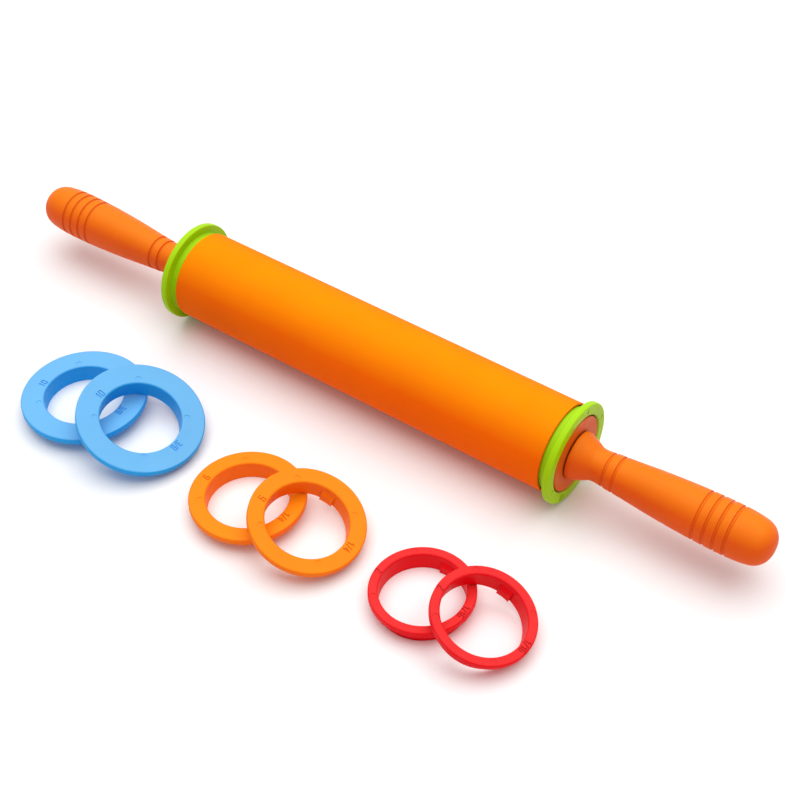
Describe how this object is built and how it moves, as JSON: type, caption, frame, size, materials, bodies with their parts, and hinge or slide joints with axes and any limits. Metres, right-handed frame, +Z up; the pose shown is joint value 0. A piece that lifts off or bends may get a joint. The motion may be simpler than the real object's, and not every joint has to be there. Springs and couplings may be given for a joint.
{
  "type": "adjustable rolling pin",
  "caption": "Rolling pin with a soft-skinned roller, free-turning handles with screw-on end caps, and slip-on thickness rings with spares lying beside it.",
  "frame": {"origin": "on the table, at the centre of the whole set's footprint", "axes": "+X along the pin towards its right handle, +Y from the spare rings towards the pin, +Z up"},
  "size_m": [0.498, 0.1714, 0.0592],
  "materials": {
    "roller_skin": "matte silicone",
    "inner_plastic": "moulded",
    "cap_plastic": "fine matte",
    "handle_plastic": "fine matte",
    "ring_green_plastic": "fine matte",
    "ring_blue_plastic": "fine matte",
    "ring_orange_plastic": "fine matte",
    "ring_red_plastic": "fine matte",
    "bush_nylon": "nylon",
    "seal_rubber": "smooth",
    "steel": "zinc plated",
    "brass": "turned"
  },
  "bodies": {
    "roller": {"roller_sleeve": "roller_skin", "roller_core": "inner_plastic", "end_plug_left": "inner_plastic", "end_plug_right": "inner_plastic"},
    "seal_left": {"o_ring_left": "seal_rubber"},
    "cap_left": {"end_cap_left": "cap_plastic", "handle_bush_left": "bush_nylon"},
    "handle_left": {"handle_left": "handle_plastic", "axle_bolt_left": "steel", "thrust_washer_left": "steel", "threaded_insert_left": "brass"},
    "ring_left": {"ring_green_left": "ring_green_plastic"},
    "seal_right": {"o_ring_right": "seal_rubber"},
    "cap_right": {"end_cap_right": "cap_plastic", "handle_bush_right": "bush_nylon"},
    "handle_right": {"handle_right": "handle_plastic", "axle_bolt_right": "steel", "thrust_washer_right": "steel", "threaded_insert_right": "brass"},
    "ring_right": {"ring_green_right": "ring_green_plastic"},
    "spare_blue_flat": {"ring_blue_flat": "ring_blue_plastic"},
    "spare_blue_leaning": {"ring_blue_leaning": "ring_blue_plastic"},
    "spare_orange_flat": {"ring_orange_flat": "ring_orange_plastic"},
    "spare_orange_leaning": {"ring_orange_leaning": "ring_orange_plastic"},
    "spare_red_flat": {"ring_red_flat": "ring_red_plastic"},
    "spare_red_leaning": {"ring_red_leaning": "ring_red_plastic"}
  },
  "joints": [
    {"name": "cap_advance_left", "type": "slide", "parent": "roller", "child": "seal_left", "axis": [-1, 0, 0], "range_m": [0, 0.012]},
    {"name": "cap_unscrew_left", "type": "hinge", "parent": "seal_left", "child": "cap_left", "pos_m": [-0.1249, 0.0561, 0.0296], "axis": [-1, 0, 0], "range_deg": [0, 1080]},
    {"name": "handle_spin_left", "type": "hinge", "parent": "cap_left", "child": "handle_left", "pos_m": [-0.1331, 0.0561, 0.0296], "axis": [-1, 0, 0], "continuous": true},
    {"name": "ring_slip_left", "type": "slide", "parent": "roller", "child": "ring_left", "axis": [-1, 0, 0], "range_m": [0, 0.006]},
    {"name": "cap_advance_right", "type": "slide", "parent": "roller", "child": "seal_right", "axis": [1, 0, 0], "range_m": [0, 0.012]},
    {"name": "cap_unscrew_right", "type": "hinge", "parent": "seal_right", "child": "cap_right", "pos_m": [0.1249, 0.0561, 0.0296], "axis": [1, 0, 0], "range_deg": [0, 1080]},
    {"name": "handle_spin_right", "type": "hinge", "parent": "cap_right", "child": "handle_right", "pos_m": [0.1331, 0.0561, 0.0296], "axis": [1, 0, 0], "continuous": true},
    {"name": "ring_slip_right", "type": "slide", "parent": "roller", "child": "ring_right", "axis": [1, 0, 0], "range_m": [0, 0.006]},
    {"name": "lift_blue_flat", "type": "slide", "parent": "roller", "child": "spare_blue_flat", "axis": [0, 0, 1], "range_m": [0, 0.06]},
    {"name": "lift_blue_leaning", "type": "slide", "parent": "spare_blue_flat", "child": "spare_blue_leaning", "axis": [0, 0, 1], "range_m": [0, 0.06]},
    {"name": "lift_orange_flat", "type": "slide", "parent": "roller", "child": "spare_orange_flat", "axis": [0, 0, 1], "range_m": [0, 0.06]},
    {"name": "lift_orange_leaning", "type": "slide", "parent": "spare_orange_flat", "child": "spare_orange_leaning", "axis": [0, 0, 1], "range_m": [0, 0.06]},
    {"name": "lift_red_flat", "type": "slide", "parent": "roller", "child": "spare_red_flat", "axis": [0, 0, 1], "range_m": [0, 0.06]},
    {"name": "lift_red_leaning", "type": "slide", "parent": "spare_red_flat", "child": "spare_red_leaning", "axis": [0, 0, 1], "range_m": [0, 0.06]}
  ],
  "couplings": [
    {"joint": "cap_unscrew_left", "follows": "cap_advance_left", "rad_per_m": 1570.8},
    {"joint": "ring_slip_left", "follows": "cap_advance_left", "ratio": 0.5},
    {"joint": "cap_unscrew_right", "follows": "cap_advance_right", "rad_per_m": 1570.8},
    {"joint": "ring_slip_right", "follows": "cap_advance_right", "ratio": 0.5}
  ]
}
